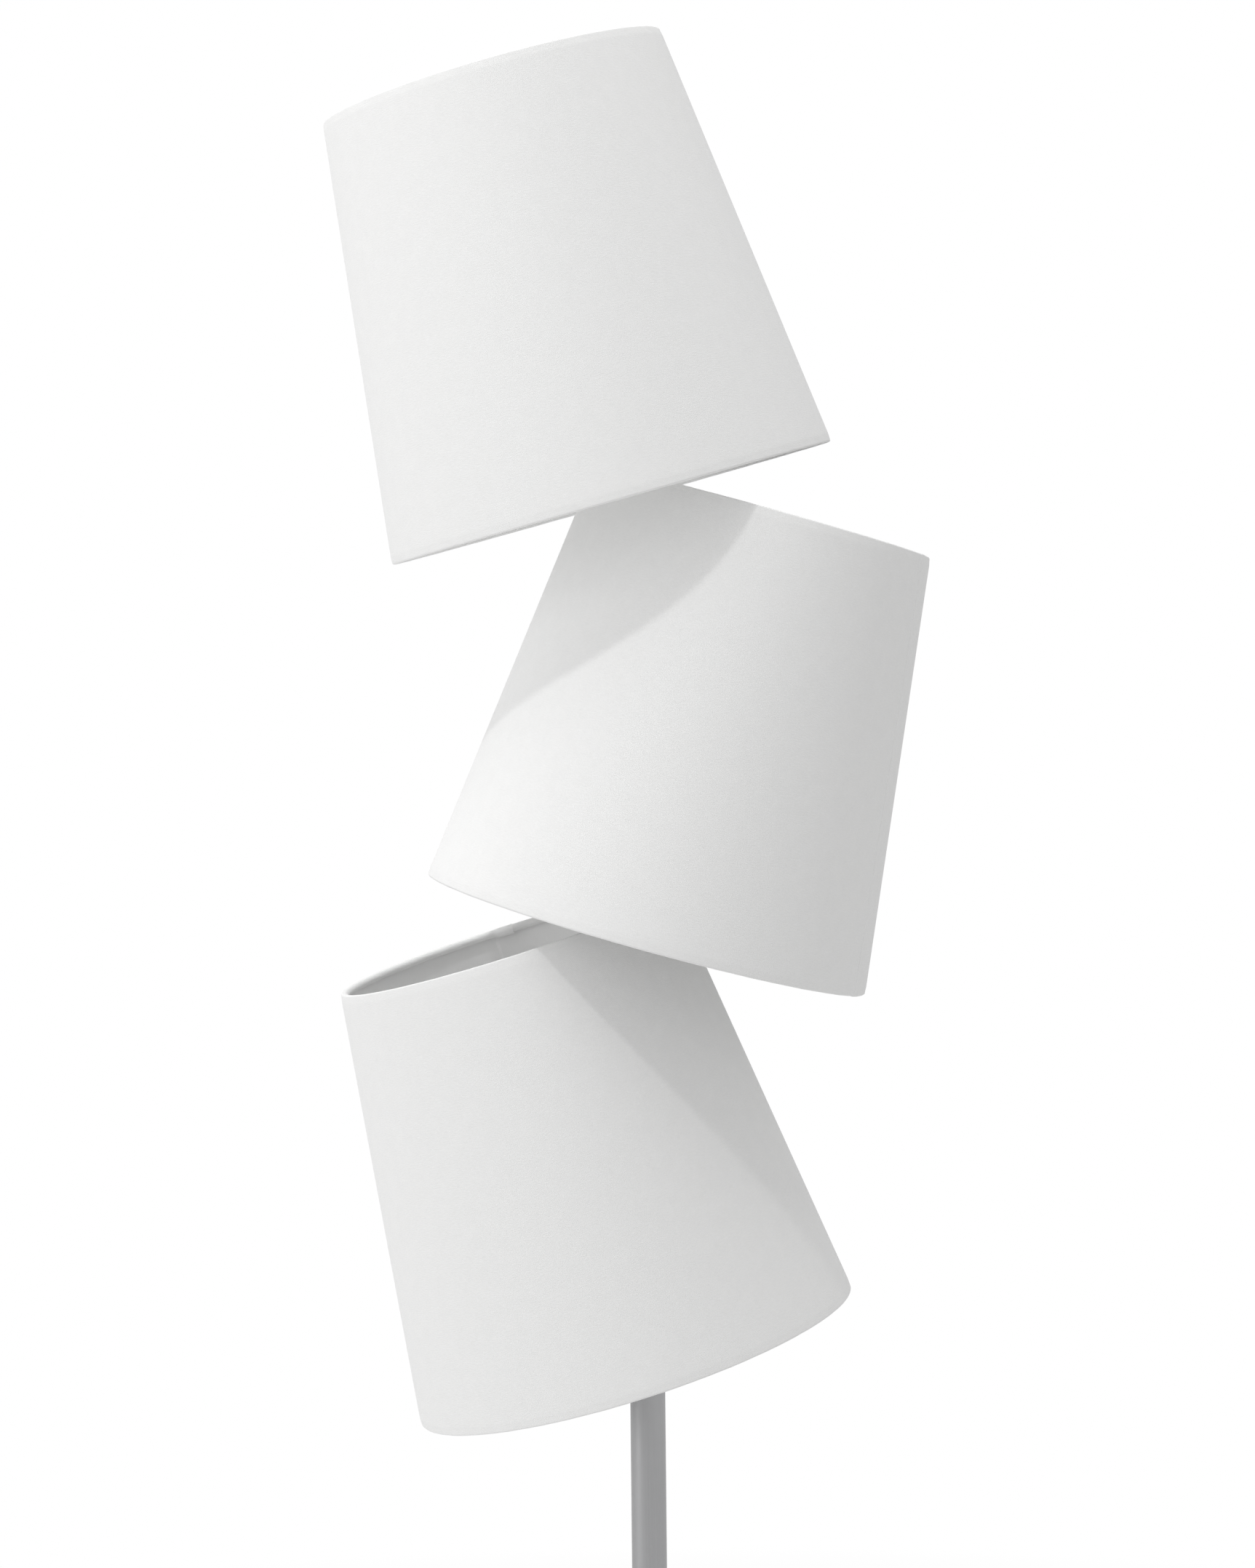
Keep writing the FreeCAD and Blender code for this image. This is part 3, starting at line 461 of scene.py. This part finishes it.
@dataclass(frozen=True)
class Camera:
    """The photograph's viewpoint."""

    place: tuple[float, float, float] = (-0.1248, -2.8923, 1.3217)
    heading: float = math.radians(2.275)
    pitch: float = math.radians(-2.97)
    roll: float = math.radians(-0.60)
    lens: float = 94.1
    clip_end: float = 60.0

    def make(self) -> None:
        """Put the camera up and make it the scene's own."""
        ahead = Vector((math.sin(self.heading) * math.cos(self.pitch),
                        math.cos(self.heading) * math.cos(self.pitch), math.sin(self.pitch)))
        level = Vector((math.cos(self.heading), -math.sin(self.heading), 0.0))
        above = level.cross(ahead)
        right = level * math.cos(self.roll) + above * math.sin(self.roll)
        up = above * math.cos(self.roll) - level * math.sin(self.roll)
        camera = bpy.data.objects.new("viewpoint", bpy.data.cameras.new("viewpoint"))
        camera.data.lens = self.lens
        camera.data.clip_end = self.clip_end
        turned = Matrix((right, up, -ahead)).transposed().to_4x4()
        camera.matrix_world = Matrix.Translation(self.place) @ turned
        bpy.context.scene.collection.objects.link(camera)
        bpy.context.scene.camera = camera


@dataclass(frozen=True)
class Lamp:
    """One soft studio lamp."""

    name: str
    place: tuple[float, float, float]
    target: tuple[float, float, float]
    width: float
    height: float
    watts: float

    def make(self) -> None:
        """Put the lamp up, turned to its target."""
        light = bpy.data.lights.new(self.name, "AREA")
        light.shape = "RECTANGLE"
        light.size, light.size_y, light.energy = self.width, self.height, self.watts
        lamp = bpy.data.objects.new(self.name, light)
        turned = (Vector(self.target) - Vector(self.place)).to_track_quat("-Z", "Y").to_matrix().to_4x4()
        lamp.matrix_world = Matrix.Translation(self.place) @ turned
        bpy.context.scene.collection.objects.link(lamp)


@dataclass
class Studio:
    """Plain pale floor, soft light and a white surround."""

    ambient: float = 0.6
    floor_radius: float = 9.0
    floor_sides: int = 96
    floor_gap: float = 0.4 * MM
    floor_colour: Colour = (0.82, 0.82, 0.82)
    floor_lift: float = 0.08
    floor_fade: tuple[float, float] = (0.5, 2.6)
    paper_scale: float = 60.0
    paper_play: float = 0.01
    lamps: list[Lamp] = field(default_factory=lambda: [
        Lamp("key", (-0.877, -1.245, 3.549), (0.0, 0.0, 1.25), width=0.12, height=0.12, watts=13.0),
        Lamp("side", (-2.6, -0.9, 1.5), (0.0, 0.0, 1.2), width=1.6, height=2.4, watts=15.5),
        Lamp("overhead", (-0.2, -0.2, 3.6), (0.0, 0.0, 1.2), width=2.0, height=2.0, watts=24.0),
        Lamp("back", (-2.2, 1.8, 1.8), (0.0, 0.0, 1.2), width=1.4, height=2.4, watts=6.0),
    ])

    def make(self) -> None:
        """Put up the lamps, the surround and the floor."""
        for lamp in self.lamps:
            lamp.make()
        self.surround()
        self.floor()
        bpy.context.scene.view_settings.view_transform = "Standard"

    @staticmethod
    def seen_plainly(shade: Shading) -> Socket:
        """Tell a ray that shows the surface from one that lights the lamp.

        Args:
            shade: the node tree that asks.

        Returns:
            1 for a ray from the camera, or one mirrored or let through on its way from it, and 0 for light.
        """
        path = shade.add("LightPath").outputs
        seen = shade.math("MAXIMUM", path["Is Camera Ray"], path["Is Glossy Ray"])
        return shade.math("MAXIMUM", seen, path["Is Transmission Ray"])

    def surround(self) -> None:
        """White where it is seen, and an even dim light on the lamp."""
        world = bpy.data.worlds.new("surround")
        bpy.context.scene.world = world
        shade = Shading(world)
        strength = shade.remap(self.seen_plainly(shade), 0.0, 1.0, self.ambient, 1.0)
        shade.end(shade.add("Background", {"Color": WHITE, "Strength": strength}), "OutputWorld")

    def floor_finish(self) -> bpy.types.Material:
        """Pale paper that keeps the lamp's shadow, and turns white further out where it is seen.

        Returns:
            The finished material.
        """
        shade = Shading.named("studio_floor")
        place = shade.object_place()
        reach = shade.add("VectorMath", {0: place}, operation="LENGTH").outputs["Value"]
        far = shade.remap(reach, *self.floor_fade, 0.0, 1.0)
        seen = self.seen_plainly(shade)
        paper = shade.spread(shade.noise(place, self.paper_scale), 1 - self.paper_play, 1 + self.paper_play)
        diffuse = shade.add("BsdfDiffuse", {"Color": shade.tint(self.floor_colour, paper)})
        lift_strength = shade.math("MULTIPLY", seen, self.floor_lift)
        lift = shade.add("Emission", {"Color": WHITE, "Strength": lift_strength})
        near = shade.add("AddShader", {0: diffuse.outputs[0], 1: lift.outputs[0]})
        white = shade.add("Emission", {"Color": WHITE, "Strength": 1.0})
        whiteness = shade.math("MULTIPLY", far, seen)
        return shade.end(shade.add("MixShader", {0: whiteness, 1: near.outputs[0], 2: white.outputs[0]}))

    def floor(self) -> None:
        """A round floor just below the felt."""
        mesh = bmesh.new()
        bmesh.ops.create_circle(mesh, cap_ends=True, segments=self.floor_sides, radius=self.floor_radius,
                                matrix=Matrix.Translation((0.0, 0.0, -self.floor_gap)))
        data = bpy.data.meshes.new("studio_floor")
        mesh.to_mesh(data)
        mesh.free()
        data.materials.append(self.floor_finish())
        floor = bpy.data.objects.new("studio_floor", data)
        bpy.context.scene.collection.objects.link(floor)


# ---------------------------------------------------------------- shades

@dataclass(frozen=True)
class ShadeForm:
    """The sizes that the three shades share, in metres; a height is measured along the shade's axis.

    A hem row is a place on the wall beside a ring wire: its distance up the wall from the wire, and its
    depth under the wall's outer line. A fold is the part of a rolled edge that faces into the shade.
    """

    bottom_radius: float = 160.6 * MM
    top_radius: float = 122.5 * MM
    length: float = 309.4 * MM
    wire_depth: float = 2.9 * MM
    corner_radius: float = 1.2 * MM
    corner_steps: int = 6
    roll_angle: float = math.radians(155.0)
    roll_steps: int = 14
    hem_rows: tuple[tuple[float, float], ...] = (
        (-1.5 * MM, 0.38 * MM), (0.0, 0.27 * MM), (1.5 * MM, 0.15 * MM), (2.5 * MM, 0.06 * MM),
        (3.2 * MM, 0.012 * MM), (4.6 * MM, 0.0))
    fabric_thickness: float = 0.5 * MM
    liner_offset: float = 0.9 * MM
    liner_thickness: float = 0.5 * MM
    liner_margin: float = 2.3 * MM
    sides: int = 240
    wall_rows: int = 22
    liner_rows: int = 8
    lap_angle: float = math.radians(7.0)
    lap_step: float = 0.28 * MM
    lap_rise: float = 0.45
    lap_slip: float = 1.5 * MM
    liner_lap_rise: float = 0.5
    seam_half_width: float = 0.0006
    fold_start: float = 0.5 * MM
    fold_width: float = 2.5 * MM
    fold_reach: float = 4 * MM
    wrinkle_waves: tuple[tuple[int, float], ...] = ((23, 0.3), (41, 0.25), (67, 0.25), (101, 0.2))
    wrinkle_twist: float = 1.7
    wrinkle_stride: float = 2.1
    wrinkle_depth: float = 0.1 * MM
    wrinkle_reach: float = 9 * MM
    wrinkle_fade: float = 5 * MM

    @property
    def wall_angle(self) -> float:
        """How far the wall leans in from the axis."""
        return math.atan((self.bottom_radius - self.top_radius) / self.length)

    @property
    def outwards(self) -> Vector:
        """The wall's outward direction in the XZ plane."""
        return Vector((math.cos(self.wall_angle), 0.0, math.sin(self.wall_angle)))

    @property
    def upwards(self) -> Vector:
        """The direction up the wall in the XZ plane."""
        return Vector((-math.sin(self.wall_angle), 0.0, math.cos(self.wall_angle)))

    def radius_at(self, height: float, depth: float) -> float:
        """The radius at some height, some depth under the wall's outer line."""
        return self.bottom_radius - math.tan(self.wall_angle) * height - depth / math.cos(self.wall_angle)

    def wire(self, height: float) -> Vector:
        """The centre of a ring wire's section, at some height."""
        return Vector((self.radius_at(height, self.wire_depth), 0.0, height))

    @property
    def low_wire(self) -> Vector:
        """The centre of the lower ring wire's section."""
        return self.wire(self.wire_depth)

    @property
    def top_wire(self) -> Vector:
        """The centre of the upper ring wire's section."""
        return self.wire(self.length - self.wire_depth)

    @property
    def span(self) -> float:
        """The distance between the two wires, along the wall."""
        return (self.top_wire - self.low_wire).length

    def on_wall(self, along: float, depth: float) -> Vector:
        """A point some way up the wall from the lower wire, some depth under the wall's outer line."""
        return self.low_wire + self.outwards * (self.wire_depth - depth) + self.upwards * along


@dataclass
class Shade:
    """One shade: fabric rolled over two ring wires, and a stiff liner inside it."""

    unit: Unit
    rim_height: float
    offset: float
    lean: float
    heading: float
    seam: float
    seed: int
    form: ShadeForm = field(default_factory=ShadeForm)

    @property
    def place(self) -> Matrix:
        """From the shade's own frame to the row frame."""
        return (Matrix.Translation((0.0, 0.0, self.rim_height))
                @ Matrix.Rotation(self.heading, 4, "Z")
                @ Matrix.Translation((self.offset, 0.0, 0.0))
                @ Matrix.Rotation(self.lean, 4, "Y"))

    def past_seam(self, point: Vector) -> float:
        """How far a point lies past the seam, as an angle from 0 to a full turn."""
        return (math.atan2(point.y, point.x) - self.seam) % FULL_TURN

    def lap_height(self, past: float, rise: float) -> float:
        """How much of a lap's step stands at an angle from its sharp edge; its far end rises gently."""
        return share((self.form.lap_angle - past) / (rise * self.form.lap_angle))

    def spun(self, mesh: Mesh) -> None:
        """Turn a profile about the shade's axis, and point its faces outwards."""
        bmesh.ops.spin(mesh, geom=mesh.verts[:] + mesh.edges[:], cent=(0, 0, 0), axis=(0, 0, 1),
                       dvec=(0, 0, 0), angle=FULL_TURN, steps=self.form.sides, use_merge=True,
                       use_duplicate=False)
        bmesh.ops.recalc_face_normals(mesh, faces=mesh.faces[:])

    def split_at(self, mesh: Mesh, seam: float) -> None:
        """Add a row of edges close to each side of a seam, so that the sheet can step there.

        Args:
            mesh: the spun mesh.
            seam: the seam's angle about the shade's axis.
        """
        for angle in (seam - self.form.seam_half_width, seam + self.form.seam_half_width):
            way = Vector((math.cos(angle), math.sin(angle), 0.0))
            near = [face for face in mesh.faces if face.calc_center_median().dot(way) > 0]
            edges = list(dict.fromkeys(edge for face in near for edge in face.edges))
            verts = list(dict.fromkeys(vert for face in near for vert in face.verts))
            bmesh.ops.bisect_plane(mesh, geom=near + edges + verts, plane_co=(0, 0, 0),
                                   plane_no=(-math.sin(angle), math.cos(angle), 0), dist=CUT_SLACK)

    def wrinkle(self, angle: float, turn: float) -> float:
        """The uneven lie of the rolled edge.

        Args:
            angle: the angle about the shade's axis.
            turn: the angle about the ring wire.

        Returns:
            The lie, from -1 to 1.
        """
        form = self.form
        total = 0.0
        for index, (waves, part) in enumerate(form.wrinkle_waves):
            start = self.seed * (index + 1) * form.wrinkle_stride
            total += part * math.sin(waves * angle + (form.wrinkle_twist + index) * turn + start)
        return total

    def fabric_mesh(self) -> Mesh:
        """The fabric: its wall, its two rolled edges and the lap of its seam.

        Returns:
            The mesh, in the shade's own frame.
        """
        form = self.form
        mesh = bmesh.new()
        rows = [*form.hem_rows, *((form.span - along, depth) for along, depth in reversed(form.hem_rows))]
        points = [mesh.verts.new(form.on_wall(*row)) for row in rows]
        edges = [mesh.edges.new(pair) for pair in zip(points, points[1:])]
        bmesh.ops.subdivide_edges(mesh, edges=[edges[len(form.hem_rows) - 1]], cuts=form.wall_rows)
        for row, wire, way in ((rows[0], form.low_wire, 1), (rows[-1], form.top_wire, -1)):
            self.roll(mesh, form.on_wall(*row), wire, way)
        self.spun(mesh)
        self.split_at(mesh, self.seam)
        self.uneven(mesh)
        bmesh.ops.recalc_face_normals(mesh, faces=mesh.faces[:])
        bmesh.ops.solidify(mesh, geom=mesh.faces[:], thickness=form.fabric_thickness)
        return mesh

    def roll(self, mesh: Mesh, end: Vector, wire: Vector, way: int) -> None:
        """Lead the profile round a tight corner and then round a ring wire.

        Args:
            mesh: the mesh with the profile's wall.
            end: the place of the wall's end beside the wire.
            wire: the centre of the wire's section.
            way: 1 for the lower edge, and -1 for the upper one.
        """
        form = self.form
        centre = end - form.outwards * form.corner_radius
        last = min(mesh.verts, key=lambda vert: (vert.co - end).length)
        turned = bmesh.ops.spin(mesh, geom=[last], cent=centre, axis=(0, 1, 0), dvec=(0, 0, 0),
                                angle=way * math.pi / 2, steps=form.corner_steps, use_duplicate=False)
        corner = next(item for item in turned["geom_last"] if isinstance(item, bmesh.types.BMVert))
        reach = abs((corner.co - wire).dot(form.upwards))
        under = mesh.verts.new(wire - form.upwards * (way * reach))
        mesh.edges.new((corner, under))
        bmesh.ops.spin(mesh, geom=[under], cent=wire, axis=(0, 1, 0), dvec=(0, 0, 0),
                       angle=way * form.roll_angle, steps=form.roll_steps, use_duplicate=False)

    def uneven(self, mesh: Mesh) -> None:
        """Raise the lap of the seam, and let the rolled edges wander a little.

        Args:
            mesh: the fabric, before it gets its thickness.
        """
        form = self.form
        low_wire, top_wire = form.low_wire, form.top_wire
        mesh.normal_update()
        moves = []
        for vert in mesh.verts:
            flat = Vector((math.hypot(vert.co.x, vert.co.y), 0.0, vert.co.z))
            low_gap, top_gap = flat - low_wire, flat - top_wire
            gap, way = (low_gap, 1) if low_gap.length < top_gap.length else (top_gap, -1)
            edge = share((form.wrinkle_reach - gap.length) / form.wrinkle_fade)
            wrinkle = self.wrinkle(math.atan2(vert.co.y, vert.co.x), math.atan2(gap.z, gap.x))
            fold = share((form.fold_start - gap.x) / form.fold_width) if gap.length < form.fold_reach else 0.0
            past = self.past_seam(vert.co)
            lift = edge * form.wrinkle_depth * wrinkle
            lift += form.lap_step * self.lap_height(past, form.lap_rise) * (1 + fold)
            move = vert.normal * lift
            if past < form.lap_angle:
                move += Vector((0.0, 0.0, way * form.lap_slip * fold))
            moves.append((vert, move))
        for vert, move in moves:
            vert.co += move

    def liner_mesh(self) -> Mesh:
        """The liner: a thin cone whose ends overlap in a straight seam.

        Returns:
            The mesh, in the shade's own frame.
        """
        form = self.form
        mesh = bmesh.new()
        ends = [mesh.verts.new(form.on_wall(along, form.liner_offset))
                for along in (form.liner_margin, form.span - form.liner_margin)]
        bmesh.ops.subdivide_edges(mesh, edges=[mesh.edges.new(ends)], cuts=form.liner_rows)
        self.spun(mesh)
        seam = self.seam + form.lap_angle
        self.split_at(mesh, seam)
        bmesh.ops.recalc_face_normals(mesh, faces=mesh.faces[:])
        bmesh.ops.solidify(mesh, geom=mesh.faces[:], thickness=form.liner_thickness)
        middle = form.liner_offset + form.liner_thickness / 2
        for vert in mesh.verts:
            flat = Vector((vert.co.x, vert.co.y, 0.0))
            if flat.length < form.radius_at(vert.co.z, middle):
                before = (seam - math.atan2(vert.co.y, vert.co.x)) % FULL_TURN
                step = form.liner_thickness * self.lap_height(before, form.liner_lap_rise)
                vert.co -= flat.normalized() * step
        return mesh

    def cloth_map(self, mesh: Mesh) -> None:
        """Lay out a UV map in metres: round the shade, and up its wall.

        Args:
            mesh: the fabric, in the shade's own frame.
        """
        layer = mesh.loops.layers.uv.new("cloth")
        round_radius = (self.form.bottom_radius + self.form.top_radius) / 2
        for face in mesh.faces:
            angles = [self.past_seam(loop.vert.co) for loop in face.loops]
            if max(angles) - min(angles) > math.pi:
                angles = [angle + FULL_TURN if angle < math.pi else angle for angle in angles]
            for loop, angle in zip(face.loops, angles):
                loop[layer].uv = (angle * round_radius, loop.vert.co.z)

    def into_scene(self, mesh: Mesh, name: str, material: bpy.types.Material) -> bpy.types.Object:
        """Put a mesh in its place on the lamp.

        Args:
            mesh: the mesh in the shade's own frame; it is freed.
            name: the piece's name.
            material: its finish.

        Returns:
            The piece, riding on its unit's body.
        """
        for face in mesh.faces:
            face.smooth = True
        for edge in mesh.edges:
            edge.smooth = len(edge.link_faces) != 2 or edge.calc_face_angle(0.0) < SHARP_EDGE
        bmesh.ops.transform(mesh, matrix=self.place, verts=mesh.verts[:])
        data = bpy.data.meshes.new(name)
        mesh.to_mesh(data)
        mesh.free()
        data.materials.append(material)
        piece = bpy.data.objects.new(name, data)
        bpy.context.scene.collection.objects.link(piece)
        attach(piece, self.unit.body)
        return piece

    def make(self, wardrobe: Wardrobe) -> None:
        """Build the fabric and the liner, and hide the CAD nodes that they stand for.

        Args:
            wardrobe: the lamp's finishes.
        """
        name = self.unit.value
        liner = self.into_scene(self.liner_mesh(), f"{name}_liner", wardrobe.material("shade_liner"))
        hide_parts(f"{name}_shade_liner")
        fabric_mesh = self.fabric_mesh()
        self.cloth_map(fabric_mesh)
        fabric = self.into_scene(fabric_mesh, f"{name}_fabric", wardrobe.material("shade_fabric"))
        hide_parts(f"{name}_shade_fabric")
        log.info("made the %s shade", name)


def all_shades() -> list[Shade]:
    """The three shades, from the lowest up."""
    degrees = math.radians
    return [
        Shade(Unit.LOWER, rim_height=765.0 * MM, offset=7.9 * MM, lean=degrees(16.77),
              heading=degrees(180.0), seam=degrees(267.2), seed=1),
        Shade(Unit.MIDDLE, rim_height=1064.9 * MM, offset=2.2 * MM, lean=degrees(15.99),
              heading=degrees(0.0), seam=degrees(-24.0), seed=2),
        Shade(Unit.UPPER, rim_height=1369.3 * MM, offset=19.0 * MM, lean=degrees(15.17),
              heading=degrees(180.0), seam=degrees(262.0), seed=3),
    ]


def main() -> None:
    """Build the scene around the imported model."""
    logging.basicConfig(level=logging.INFO, format="%(name)s: %(message)s")
    Camera().make()
    Studio().make()
    wardrobe = Wardrobe()
    wardrobe.dress_cad(frame["nodes"])
    for shade in all_shades():
        shade.make(wardrobe)


if __name__ == "__main__":
    main()
